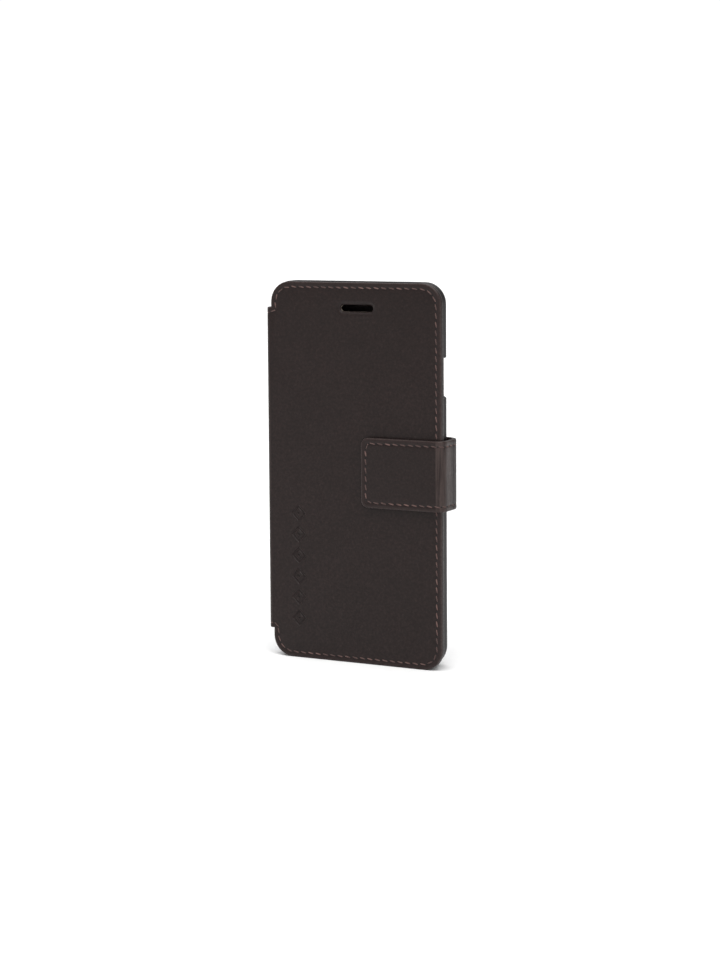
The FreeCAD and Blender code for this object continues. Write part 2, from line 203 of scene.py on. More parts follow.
def mixed(tree, factor, first, second):
    """A colour between two colours or sockets."""
    made = add_node(tree, "ShaderNodeMix", {0: factor, 6: first, 7: second},
                    data_type="RGBA")
    return made.outputs[2]


def between(tree, value, low, high, to_low=0.0, to_high=1.0):
    """Maps a value smoothly from one range to another."""
    made = add_node(tree, "ShaderNodeMapRange",
                    {0: value, 1: low, 2: high, 3: to_low, 4: to_high},
                    interpolation_type="SMOOTHSTEP")
    return made.outputs[0]


def maths(tree, operation, first, second=0.0):
    """One step of arithmetic."""
    made = add_node(tree, "ShaderNodeMath", {0: first, 1: second}, operation=operation)
    return made.outputs[0]


def times(tree, first, second):
    """The product of two values or sockets."""
    return maths(tree, "MULTIPLY", first, second)


def attribute(tree, name):
    """A number kept on the mesh's points."""
    return add_node(tree, "ShaderNodeAttribute", attribute_name=name).outputs["Fac"]


def cloud(tree, place, scale, detail=3.0, roughness=0.55, stretch=None):
    """Noise on a piece's own coordinates."""
    if stretch is not None:
        place = add_node(tree, "ShaderNodeMapping", {"Vector": place, "Scale": stretch})
        place = place.outputs[0]
    made = add_node(tree, "ShaderNodeTexNoise",
                    {"Vector": place, "Scale": scale, "Detail": detail,
                     "Roughness": roughness})
    return made.outputs[0]


def bumped(tree, height, distance, strength, under=None):
    """Small relief of the given height in metres."""
    sockets = {"Height": height, "Distance": distance, "Strength": strength}
    if under is not None:
        sockets["Normal"] = under
    return add_node(tree, "ShaderNodeBump", sockets).outputs[0]


def new_material(name):
    """A material with its tree, its shader and its own coordinates."""
    made = bpy.data.materials.new(name)
    made.use_nodes = True
    tree = made.node_tree
    shader = tree.nodes["Principled BSDF"]
    place = tree.nodes.new("ShaderNodeTexCoord").outputs["Object"]
    return made, tree, shader, place


def fed(tree, shader, tone, rough, normal):
    """Feeds a shader its colour, roughness and relief."""
    for name, value in (("Base Color", tone), ("Roughness", rough), ("Normal", normal)):
        tree.links.new(value, shader.inputs[name])


def scaled(tone, share):
    """A colour made darker or lighter."""
    return rgba([min(1.0, part * share) for part in tone])


def kept(build):
    """Finds a material by its name, and builds it the first time it is asked for."""
    def find_or_build(name, *rest, **named):
        return bpy.data.materials.get(name) or build(name, *rest, **named)
    return find_or_build


@kept
def leather(name, plain, warm, worn_and_sheen, cut, grain=1.0, gloss=0.0):
    """Smooth full-grain leather: mottled, finely grained, rubbed at edges and bends (the bends partly a
    painted highlight), with painted shade in its seam grooves and wrinkles.
    """
    made, tree, shader, place = new_material(name)
    rim, margin, seam, raw, rub_and_sheen = [attribute(tree, layer) for layer in LAYERS]
    patches = cloud(tree, place, PATCHES, 5.0, 0.6)
    speckle = cloud(tree, place, SPECKLE, 4.0, 0.7)
    streaks = cloud(tree, place, STREAKS, 4.0, 0.65, (1.0, 1.0, 0.07))
    tone = mixed(tree, between(tree, patches, 0.30, 0.72, 0.1, 0.7), rgba(plain), rgba(warm))
    dark = scaled(plain, 0.45)
    for share, tint in ((between(tree, speckle, 0.34, 0.62, 0.55, 0.0), dark),
                        (between(tree, speckle, 0.54, 0.80, 0.0, 0.5), scaled(warm, 1.9)),
                        (times(tree, margin, 0.55), rgba(warm))):
        tone = mixed(tree, share, tone, tint)
    # bends turn lighter, partly as wear and partly as a painted highlight
    rub_and_sheen_amount = times(tree, rub_and_sheen, between(tree, streaks, 0.30, 0.66, 0.12, 1.0))
    rim_noise = between(tree, speckle, 0.30, 0.62, 0.25, 0.9)
    rim_amount = times(tree, rim, rim_noise)
    wear_and_sheen = maths(tree, "MAXIMUM", rub_and_sheen_amount, rim_amount)
    # raw darkens burnished cut edges; seam paints shade into seam grooves and wrinkles
    for share, strength, tint in ((wear_and_sheen, 0.62, rgba(worn_and_sheen)), (raw, 0.8, rgba(cut)),
                                  (seam, 0.5, dark)):
        tone = mixed(tree, times(tree, share, strength), tone, tint)
    rough = between(tree, speckle, 0.25, 0.75, 0.50 - gloss, 0.36 - gloss)
    rough = maths(tree, "SUBTRACT", rough, times(tree, wear_and_sheen, 0.06))
    cells = add_node(tree, "ShaderNodeTexVoronoi",
                     {"Vector": place, "Scale": CELLS / grain, "Randomness": 1.0},
                     feature="SMOOTH_F1").outputs["Distance"]
    pores = cloud(tree, place, PORES / grain, 3.0, 0.6)
    waves = cloud(tree, place, WAVES, 3.0, 0.5)
    normal = bumped(tree, waves, 0.30 * MM, 0.35)
    normal = bumped(tree, streaks, 0.12 * MM, times(tree, rub_and_sheen, 0.8), normal)
    normal = bumped(tree, pores, 0.04 * MM, 0.55, normal)
    normal = bumped(tree, cells, 0.05 * MM, 0.45, normal)
    fed(tree, shader, tone, rough, normal)
    shader.inputs["Specular IOR Level"].default_value = HIDE_SHINE
    return made


def hide_leather():
    """The dark outer leather."""
    tone = colours()
    return leather("smooth_brown_hide", tone.hide, tone.hide_warm, tone.hide_worn_and_sheen, tone.hide_cut)


def lining_leather():
    """The softer inner leather."""
    tone = colours()
    return leather("soft_lining_hide", tone.lining, tone.hide_warm, tone.hide_worn_and_sheen,
                   tone.hide_cut, grain=0.8, gloss=-0.05)


@kept
def thread_material(name):
    """Twisted waxed thread; the twist follows each stitch's own map."""
    made, tree, shader, place = new_material(name)
    tone = colours().thread
    map_place = add_node(tree, "ShaderNodeUVMap", uv_map="stitch").outputs[0]
    turned = add_node(tree, "ShaderNodeMapping",
                      {"Vector": map_place, "Rotation": (0.0, 0.0, 0.62)}).outputs[0]
    twist = add_node(tree, "ShaderNodeTexWave",
                     {"Vector": turned, "Scale": 1.9, "Distortion": 0.6, "Detail": 1.0},
                     wave_type="BANDS", bands_direction="Y").outputs["Fac"]
    fuzz = cloud(tree, place, THREAD_FUZZ, 2.0, 0.6)
    drift = cloud(tree, place, THREAD_DRIFT, 2.0, 0.5)
    # the twist's grooves are painted darker, as painted shade
    shade = mixed(tree, between(tree, twist, 0.1, 0.75), scaled(tone, 0.42), rgba(tone))
    pale = rgba((min(1.0, tone[0] * 1.9), tone[1] * 1.85, tone[2] * 1.8))
    shade = mixed(tree, between(tree, drift, 0.42, 0.68, 0.0, 0.75), shade, pale)
    shade = mixed(tree, between(tree, fuzz, 0.30, 0.60, 0.35, 0.0), shade, scaled(tone, 0.3))
    normal = bumped(tree, twist, 0.07 * MM, 0.8)
    fed(tree, shader, shade, between(tree, fuzz, 0.3, 0.7, 0.62, 0.8),
        bumped(tree, fuzz, 0.03 * MM, 0.5, normal))
    shader.inputs["Specular IOR Level"].default_value = THREAD_SHINE
    return made


@kept
def grained(name, tone, scale, relief, rough_low, rough_high, metal=0.0, stretch=None,
            contrast=0.35, sheen=0.0):
    """A moulded, woven or metal surface with fine procedural texture."""
    made, tree, shader, place = new_material(name)
    fine = cloud(tree, place, scale, 3.0, 0.6, stretch)
    broad = cloud(tree, place, scale / 30.0, 4.0, 0.55)
    dark = scaled(tone, 1.0 - contrast)
    shade = mixed(tree, between(tree, fine, 0.3, 0.7), dark, scaled(tone, 1.0 + contrast))
    shade = mixed(tree, between(tree, broad, 0.35, 0.7, 0.0, 0.5), shade, dark)
    fed(tree, shader, shade, between(tree, fine, 0.25, 0.75, rough_low, rough_high),
        bumped(tree, fine, relief, 0.6))
    shader.inputs["Metallic"].default_value = metal
    shader.inputs["Sheen Weight"].default_value = sheen
    return made


def awl_hole_shade_material():
    """Painted shade: a near-black solid standing for the shadow inside a pricked hole."""
    return grained("awl_hole", (0.004, 0.003, 0.003), 4000.0, 0.00003, 0.75, 0.95)


def tray_plastic():
    """Matt moulded plastic with a fine eroded texture."""
    made = grained("textured_plastic", colours().tray, 4200.0, 0.00003, 0.42, 0.58)
    made.node_tree.nodes["Principled BSDF"].inputs["Specular IOR Level"].default_value = TRAY_SHINE
    return made


# ---- meshes
def in_mm(*pairs):
    """Rings given in millimetres, in metres."""
    return [(inset * MM, depth * MM) for inset, depth in pairs]


def limited(value):
    """A value kept from 0 to 1."""
    return min(1.0, max(0.0, value))


def verts_of(parts):
    """The vertices among mesh parts."""
    return [part for part in parts if isinstance(part, bmesh.types.BMVert)]


def moved(bm, matrix):
    """Moves a whole mesh."""
    bmesh.ops.transform(bm, matrix=matrix, verts=bm.verts[:])


def joined(bm, part):
    """Adds a mesh to another and frees it."""
    spare = bpy.data.meshes.new("joined_part")
    part.to_mesh(spare)
    part.free()
    bm.from_mesh(spare)


def as_object(bm, name, materials, smooth_angle=40.0):
    """Makes an object of a bmesh, smooth shaded except at sharp edges."""
    limit = math.radians(smooth_angle)
    for face in bm.faces:
        face.smooth = True
    for edge in bm.edges:
        edge.smooth = edge.is_manifold and edge.calc_face_angle(0.0) < limit
    mesh = bpy.data.meshes.new(name)
    bm.to_mesh(mesh)
    bm.free()
    for material in materials:
        mesh.materials.append(material)
    made = bpy.data.objects.new(name, mesh)
    bpy.context.scene.collection.objects.link(made)
    return made


def cut_across(bm, axis, places):
    """Cuts through the whole mesh at each place along an axis."""
    normal = Vector((0.0, 0.0, 0.0))
    normal[axis] = 1.0
    for place in places:
        geometry = bm.verts[:] + bm.edges[:] + bm.faces[:]
        bmesh.ops.bisect_plane(bm, geom=geometry, dist=1e-7, plane_co=normal * place,
                               plane_no=normal)


def steps(low, high, spacing):
    """Evenly spaced places from low to high, without the ends."""
    count = max(1, round((high - low) / spacing))
    return [low + (high - low) * number / count for number in range(1, count)]


def outline_face(bm, points, roundings, depth=0.0, segments=8):
    """Adds a flat face at one depth, with some corners rounded."""
    corners = [bm.verts.new((x, depth, z)) for x, z in points]
    face = bm.faces.new(corners)
    face.normal_update()
    if face.normal.y > 0:
        face.normal_flip()
    for radius in sorted({value for value in roundings if value > 0}):
        chosen = [vert for vert, value in zip(corners, roundings) if value == radius]
        bmesh.ops.bevel(bm, geom=chosen, offset=radius, offset_type="OFFSET",
                        segments=segments, profile=0.5, affect="VERTICES", material=-1,
                        clamp_overlap=False)


def rectangle(left, right, low, high):
    """The corners of a rectangle."""
    return [(left, low), (right, low), (right, high), (left, high)]


RIM_WIDTH = 0.75 * MM    # how far wear reaches in from an edge
FOOT_ROUND = 0.12 * MM   # round along a leather's inner edge


def press_rings(bm, face, rings, seam_inset=None):
    """Insets a face step by step; rings are (distance from the edge, depth).

    Returns the seam line's corners where a ring lies on the seam.
    """
    rim, margin, seam, _, _ = [bm.verts.layers.float[name] for name in LAYERS]
    line = None
    for (inset, depth), (next_inset, next_depth) in zip(rings, rings[1:]):
        bmesh.ops.inset_region(bm, faces=[face], use_boundary=True, use_even_offset=True,
                               thickness=next_inset - inset, depth=depth - next_depth)
        if seam_inset is None:
            continue
        on_seam = abs(next_inset - seam_inset) < SAME_DISTANCE
        for vert in face.verts:
            vert[rim] = max(0.0, 1.0 - next_inset / RIM_WIDTH)
            vert[margin] = 1.0 if next_inset <= seam_inset + SAME_DISTANCE else 0.0
            # the seam layer marks the groove, which the leather darkens as painted shade
            vert[seam] = 1.0 if on_seam else 0.0
        if on_seam:
            line = [Vector((vert.co.x, vert.co.z)) for vert in face.verts]
    return line


def blank(points, roundings, rings, thick, seam_inset=None, segments=8):
    """A flat leather with a shaped outer face at depth 0 and its edges rounded."""
    bm = bmesh.new()
    for layer in LAYERS:
        bm.verts.layers.float.new(layer)
    outline_face(bm, points, roundings, rings[0][1], segments)
    bm.faces.ensure_lookup_table()
    face = bm.faces[0]
    rim, margin, _, raw, _ = [bm.verts.layers.float[name] for name in LAYERS]
    for vert in face.verts:
        vert[rim] = 0.8
        vert[margin] = 1.0
    line = press_rings(bm, face, rings, seam_inset)
    wall = [edge for edge in bm.edges if edge.is_boundary]
    made = bmesh.ops.extrude_edge_only(bm, edges=wall)["geom"]
    foot = verts_of(made)
    foot_edges = [part for part in made if isinstance(part, bmesh.types.BMEdge)]
    foot_round = min(FOOT_ROUND, thick / 4)
    for vert in foot:
        vert.co.y = thick - foot_round
        vert[raw] = 1.0
    under = bmesh.ops.contextual_create(bm, geom=foot_edges)["faces"]
    bmesh.ops.recalc_face_normals(bm, faces=bm.faces[:])
    bmesh.ops.inset_region(bm, faces=under, use_boundary=True, use_even_offset=True,
                           thickness=foot_round, depth=foot_round)
    return bm, line, face, under[0]


def let_in(bm, face, shapes):
    """Swaps a flat face for one with outlines let into it, and returns their faces.

    Each shape is (points, roundings, segments).
    """
    depth = face.verts[0].co.y
    facing = face.normal.y
    rim_edges = face.edges[:]
    bmesh.ops.delete(bm, geom=[face], context="FACES_ONLY")
    inner = []
    for points, roundings, segments in shapes:
        known = set(bm.edges)
        outline_face(bm, points, roundings, depth, segments)
        new_edges = [edge for edge in bm.edges if edge not in known]
        inner.append(new_edges[0].link_faces[0])
        if facing > 0:
            inner[-1].normal_flip()
        rim_edges += new_edges
    bmesh.ops.triangle_fill(bm, edges=rim_edges, use_beauty=True, use_dissolve=False,
                            normal=(0.0, facing, 0.0))
    return inner


def rounded_slot(x, z, width, height, grow=0.0):
    """A round-ended slot as a shape to let in."""
    points = rectangle(x - width / 2 - grow, x + width / 2 + grow,
                       z - height / 2 - grow, z + height / 2 + grow)
    return points, [(height / 2 + grow) * 0.98] * 4, 7


def open_through(bm, outer, inner):
    """Opens a leather from a face on its outer side to one on its inner side."""
    walls = outer.edges[:] + inner.edges[:]
    bmesh.ops.delete(bm, geom=[outer, inner], context="FACES_ONLY")
    bmesh.ops.bridge_loops(bm, edges=walls)


def work_faces(bm, face, under, slots, others=()):
    """Cuts slots with pressed lips through a leather; returns the other shapes' faces.

    Each slot is (x, z, width, height, lip, rings).
    """
    shapes = [rounded_slot(x, z, wide, high, lip) for x, z, wide, high, lip, _ in slots]
    outer = let_in(bm, face, shapes + list(others))
    inner = let_in(bm, under, [rounded_slot(x, z, wide, high)
                               for x, z, wide, high, _, _ in slots])
    for front, rear, slot in zip(outer, inner, slots):
        press_rings(bm, front, slot[5])
        open_through(bm, front, rear)
    return outer[len(slots):]


class Wrap:
    """Lays a flat pattern round a front, a side and a back plane with two round folds.

    side is -1 where the folds stand at the low end of X and 1 at the high end. The
    pattern's x is 0 at the middle of the side; its y is the depth into the leather.
    """

    def __init__(self, side, face_x, front_y, back_y, radius, back_radius=None):
        self.side = side
        self.face_x = face_x
        self.middle_y = (front_y + back_y) / 2
        self.half = (back_y - front_y) / 2 - radius
        self.radius = radius
        self.arc = radius * QUARTER_TURN
        self.back_radius = back_radius or radius

    def bend(self, to_back):
        """Half the side's straight part, the fold's arc and its radius."""
        radius = self.back_radius if to_back else self.radius
        return self.half + self.radius - radius, radius * QUARTER_TURN, radius

    def along(self, x, to_back=False):
        """The pattern's x for a place on the front plane, or on the back plane."""
        half, arc, radius = self.bend(to_back)
        reach = half + arc - radius + self.side * (self.face_x - x)
        return self.side * reach if to_back else -self.side * reach

    def place(self, point):
        """Where a point of the pattern lies."""
        reach = abs(point.x)
        facing = -1 if point.x * self.side < 0 else 1
        half, arc, radius = self.bend(facing > 0)
        turn = min(max((reach - half) / radius, 0.0), QUARTER_TURN)
        beyond = max(0.0, reach - half - arc)
        out = radius - point.y
        straight = min(reach, half)
        x = self.face_x - self.side * (radius + beyond - out * math.cos(turn))
        y = self.middle_y + facing * (straight + out * math.sin(turn))
        return Vector((x, y, point.z))

    def fold_places(self, spread, spacing):
        """Cuts across the pattern through both folds and a little way past them."""
        places = []
        for way, to_back in ((-self.side, False), (self.side, True)):
            half, arc, _ = self.bend(to_back)
            near = max(half - spread - spacing, spacing)
            reach = half + arc + spread + spacing
            places += [way * place for place in steps(near, reach, spacing)]
        return places

    def lay(self, bm):
        """Folds a flat mesh."""
        for vert in bm.verts:
            vert.co = self.place(vert.co)


def half_of(bm, keep):
    """The half of a pattern on one side of its middle, closed at the cut."""
    half = bm.copy()
    geometry = half.verts[:] + half.edges[:] + half.faces[:]
    bmesh.ops.bisect_plane(half, geom=geometry, dist=1e-7, plane_co=(0.0, 0.0, 0.0),
                           plane_no=(keep, 0.0, 0.0), clear_inner=True)
    open_edges = [edge for edge in half.edges if edge.is_boundary]
    bmesh.ops.edgeloop_fill(half, edges=open_edges)
    bmesh.ops.recalc_face_normals(half, faces=half.faces[:])
    return half


# ---- thread
def walk(line, pitch, closed=True):
    """Places and directions of stitches spaced evenly along a line of corners."""
    points = line + [line[0]] if closed else line
    lengths = [(b - a).length for a, b in zip(points, points[1:])]
    total = sum(lengths)
    count = max(1, round(total / pitch))
    ends = []
    number = 0
    passed = 0.0
    for here, (a, b) in zip(lengths, zip(points, points[1:])):
        while number <= count and number * total / count <= passed + here + 1e-9:
            share = (number * total / count - passed) / here if here else 0.0
            ends.append(a.lerp(b, min(1.0, share)))
            number += 1
        passed += here
    return [((a + b) / 2, (b - a).normalized()) for a, b in zip(ends, ends[1:])]


def stitch_parts(bm):
    """One stitch with its two halves dipping, and one pricked hole as a small solid carrying painted shade,
    about the origin.
    """
    size = sizes()
    bmesh.ops.create_uvsphere(bm, u_segments=8, v_segments=7, radius=0.5, calc_uvs=True)
    stitch = bm.verts[:]
    bmesh.ops.rotate(bm, verts=stitch, cent=(0, 0, 0),
                     matrix=Matrix.Rotation(QUARTER_TURN, 3, "Y"))
    for vert in stitch:
        reach = 2 * vert.co.x
        vert.co.x = math.copysign(abs(reach) ** 0.75, reach) * size.stitch_length / 2
        vert.co.z *= size.stitch_width
        vert.co.y = vert.co.y * 0.36 * MM + (0.16 * reach ** 4 + 0.01) * MM
    bmesh.ops.create_cone(bm, cap_ends=True, segments=8, radius1=0.5, radius2=0.4,
                          depth=0.5, matrix=Matrix.Rotation(QUARTER_TURN, 4, "X"))
    hole = [vert for vert in bm.verts if vert not in set(stitch)]
    bmesh.ops.scale(bm, verts=hole, vec=(0.62 * MM, 0.26 * MM, 0.66 * MM))
    # the hole's faces take the near-black material of painted shade
    for face in bm.faces:
        if face.verts[0] in hole:
            face.material_index = 1


def thread_mesh(places, depth):
    """Stitches and holes at places and directions on a flat pattern."""
    size = sizes()
    bm = bmesh.new()
    bm.loops.layers.uv.new("stitch")
    stitch_parts(bm)
    parts = bm.verts[:] + bm.edges[:] + bm.faces[:]
    hole_shade_faces = [face for face in bm.faces if face.material_index == 1]
    hole_shade_verts = {vert for face in hole_shade_faces for vert in face.verts}
    for place, direction in places:
        angle = math.atan2(direction.y, direction.x)
        slant = -size.stitch_slant * math.cos(2 * angle)
        made = bmesh.ops.duplicate(bm, geom=parts)
        pairs = made["vert_map"]
        holes = {pairs[vert] for vert in hole_shade_verts}
        middle = Vector((place.x, depth, place.y))
        turn = Matrix.Rotation(-angle - slant, 4, "Y")
        straight = Matrix.Rotation(-angle, 4, "Y")
        ahead = Vector((direction.x, 0.0, direction.y)) * (size.stitch_pitch / 2)
        for vert in verts_of(made["geom"]):
            if vert in holes:
                vert.co = straight @ vert.co + middle + ahead
            else:
                vert.co = turn @ vert.co + middle
    bmesh.ops.delete(bm, geom=verts_of(parts), context="VERTS")
    return bm


def thread_object(bm, name):
    """Makes thread an object with its two materials."""
    made = as_object(bm, name, [thread_material("waxed_thread"), awl_hole_shade_material()], 75.0)
    return made


def seam_rings(start_depth, size):
    """The outer face's profile from the edge in to past the seam."""
    seam = size.seam_inset
    groove = size.groove_depth
    return [(0.0, start_depth), (0.06 * MM, start_depth * 0.55),
            (0.18 * MM, start_depth * 0.24), (0.36 * MM, start_depth * 0.08),
            (0.62 * MM, 0.0), (1.25 * MM, 0.0), (seam - 0.45 * MM, groove * 0.2),
            (seam - 0.2 * MM, groove * 0.8), (seam, groove),
            (seam + 0.2 * MM, groove * 0.8), (seam + 0.45 * MM, groove * 0.2),
            (seam + 0.7 * MM, 0.0)]


# ---- the outer leather
def hide_wrap():
    """The outer leather's way round the spine."""
    return Wrap(-1, SPINE_LOW.x, COVER_LOW.y, BACK_HIGH.y, sizes().spine_round)


def hide_points(wrap):
    """The outline of the cover, the spine and the back panel in one flat piece."""
    free = wrap.along(COVER_HIGH.x)
    fold = wrap.along(COVER_LEFT)
    back_fold = wrap.along(BACK_PANEL_LEFT, to_back=True)
    back_free = wrap.along(BACK_HIGH.x, to_back=True)
    points = [(fold, COVER_LOW.z), (free, COVER_LOW.z), (free, COVER_HIGH.z),
              (fold, COVER_HIGH.z), (fold, SPINE_HIGH.z), (back_fold, SPINE_HIGH.z),
              (back_fold, BACK_HIGH.z), (back_free, BACK_HIGH.z),
              (back_free, BACK_LOW.z), (back_fold, BACK_LOW.z),
              (back_fold, SPINE_LOW.z), (fold, SPINE_LOW.z)]
    size = sizes()
    return points, [size.cover_corner] * 4 + [0, 0] + [size.back_corner] * 4 + [0, 0]


def lozenge(x, z, half_wide, half_long, corner):
    """A lozenge as a shape to let in."""
    points = [(x - half_wide, z), (x, z - half_long), (x + half_wide, z), (x, z + half_long)]
    return points, [corner] * 4, 3


RAISED_SHARE = 0.66   # the raised lozenge within each outline
HEART_SHARE = 0.24    # the small pressed one within that


def press_ornament(bm, faces, places, size):
    """Presses each outline down, then raises and presses a smaller lozenge within."""
    wide = size.ornament_width / 2
    for face, (x, z, half_long) in zip(faces, places):
        press_rings(bm, face, in_mm((0.0, 0.0), (0.02, 0.0), (0.10, 0.05), (0.26, 0.32),
                                    (0.38, 0.36)))
        share = RAISED_SHARE
        within = let_in(bm, face, [lozenge(x, z, wide * share, half_long * share,
                                           0.7 * MM)])[0]
        press_rings(bm, within, in_mm((0.0, 0.36), (0.10, 0.32), (0.26, 0.06),
                                      (0.38, 0.02), (0.62, 0.02)))
        share = HEART_SHARE
        heart = let_in(bm, within, [lozenge(x, z, wide * share, half_long * share,
                                            0.25 * MM)])[0]
        press_rings(bm, heart, in_mm((0.0, 0.02), (0.08, 0.08), (0.2, 0.30)))


def camera_hole_place(size):
    """The middle and size of the camera hole in the back leather."""
    return (TRAY_HIGH.x - size.camera_from_side, TRAY_HIGH.z - size.camera_from_top,
            size.camera_width, size.camera_height)


class WALLETCASE_OT_outer_hide(bpy.types.Operator):
    """The cover, spine and back leather, cut as one piece and folded round the spine"""
    bl_idname = "walletcase.outer_hide"
    bl_label = "Outer leather"

    def execute(self, context):
        size = sizes()
        wrap = hide_wrap()
        points, roundings = hide_points(wrap)
        bm, seam, face, under = blank(points, roundings, seam_rings(0.5 * MM, size),
                                      HIDE, size.seam_inset)
        lip = size.slot_lip
        lip_rings = [(0.0, 0.0), (0.03 * lip, 0.0), (0.2 * lip, 0.08 * MM), (0.5 * lip, 0.18 * MM),
                     (0.72 * lip, 0.36 * MM), (0.9 * lip, 0.60 * MM), (lip, 0.85 * MM)]
        slot_x = wrap.along(COVER_HIGH.x - size.slot_from_edge)
        slot_z = COVER_HIGH.z - size.slot_from_top
        x, z, wide, high = camera_hole_place(size)
        camera_rings = in_mm((0.0, 0.0), (0.12, 0.03), (0.24, 0.12), (0.3, 0.28))
        slots = [(slot_x, slot_z, size.slot_width, size.slot_height, lip, lip_rings),
                 (wrap.along(x, to_back=True), z, wide, high, 0.3 * MM, camera_rings)]
        ornament_x = wrap.along(SPINE_LOW.x + size.ornament_from_spine)
        pitch = size.ornament_length / size.ornament_count
        half_long = (pitch - size.ornament_gap) / 2
        foot = COVER_LOW.z + size.ornament_bottom
        places = [(ornament_x, foot + pitch * (number + 0.5), half_long)
                  for number in range(size.ornament_count)]
        lozenges = [lozenge(x, z, size.ornament_width / 2, long, 0.45 * MM)
                    for x, z, long in places]
        pressed = work_faces(bm, face, under, slots, lozenges)
        press_ornament(bm, pressed, places, size)
        bmesh.ops.recalc_face_normals(bm, faces=bm.faces[:])
        cut_across(bm, 0, wrap.fold_places(1.2 * MM, 0.25 * MM))
        rub_and_sheen = bm.verts.layers.float["rub_and_sheen"]
        for vert in bm.verts:
            reach = abs(vert.co.x)
            middle = wrap.half + wrap.arc / 2
            vert[rub_and_sheen] = 0.45 * max(0.0, 1.0 - ((reach - middle) / (1.5 * MM)) ** 2)
        stitches = walk(seam, size.stitch_pitch)
        for keep, body, name, nodes, start, end in hide_halves(size):
            half = half_of(bm, keep)
            wrap.lay(half)
            piece = as_object(half, "hide_" + name, [hide_leather()])
            thread = thread_mesh([(place, way) for place, way in stitches
                                  if place.x * keep > 0 and seam_shows(place, wrap)],
                                 size.groove_depth)
            wrap.lay(thread)
            thread_piece = thread_object(thread, "thread_" + name)
            first, last = body
            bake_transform(piece, first, last, start, end)
            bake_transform(thread_piece, first, last, start, end)
            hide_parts(*nodes[0])
            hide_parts(*nodes[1])
        bm.free()
        return {"FINISHED"}


def seam_shows(place, wrap):
    """Whether a stitch of the long seam lies clear of the strap sewn over the back."""
    if place.x > 0:
        return True
    near = wrap.along(ANCHOR_LOW.x - 1.6 * MM, to_back=True)
    clear = 1.6 * MM
    beside = ANCHOR_LOW.z - clear < place.y < ANCHOR_HIGH.z + clear
    return not (place.x < near and beside)


def hide_halves(size):
    """For each half: side kept, bodies, name, replaced nodes, start and end of bending."""
    reach = size.spine_round + 0.9 * MM
    left = SPINE_LOW.x
    middle = (SPINE_LOW.z + SPINE_HIGH.z) / 2
    front = COVER_LOW.y
    rear = BACK_HIGH.y
    return [(1, ("spine", "cover"), "cover", (["cover_leather"], ["cover_stitches"]),
             (left, front + reach, middle), (left + reach, front, middle)),
            (-1, ("back", "spine"), "back",
             (["back_leather", "spine_leather"], ["back_stitches", "spine_stitches"]),
             (left + reach, rear, middle), (left, rear - reach, middle))]


# ---- the strap
def strap_wrap(size):
    """The strap's way round the free side."""
    return Wrap(1, SIDE_HIGH.x, TIP_LOW.y, ANCHOR_HIGH.y, size.strap_round,
                size.strap_back_round)


def crease(u, z):
    """How far the strap's face is pressed in by the wrinkles round its side."""
    depth = 0.0
    for number, (place, deep, wide) in enumerate(STRAP_WRINKLES):
        wander = 0.35 * MM * noise.noise(Vector((z * 130.0, number * 7.3, 0.4)))
        fade = 0.55 + 0.6 * noise.noise(Vector((z * 170.0, number * 3.1, 5.0)))
        gap = (u - place * MM - wander) / (wide * MM)
        depth += max(deep * fade, 0.0) * MM * math.exp(-gap * gap)
    return depth


# place from the middle of the side towards the back, depth and width, in mm
STRAP_WRINKLES = [(-7.6, 0.03, 0.22), (-6.1, 0.04, 0.20), (-3.4, 0.02, 0.3),
                  (0.4, 0.10, 0.26), (1.5, 0.07, 0.20), (2.3, 0.12, 0.24),
                  (3.4, 0.08, 0.20), (4.3, 0.13, 0.26), (5.6, 0.08, 0.24),
                  (6.8, 0.10, 0.26), (8.6, 0.05, 0.30)]


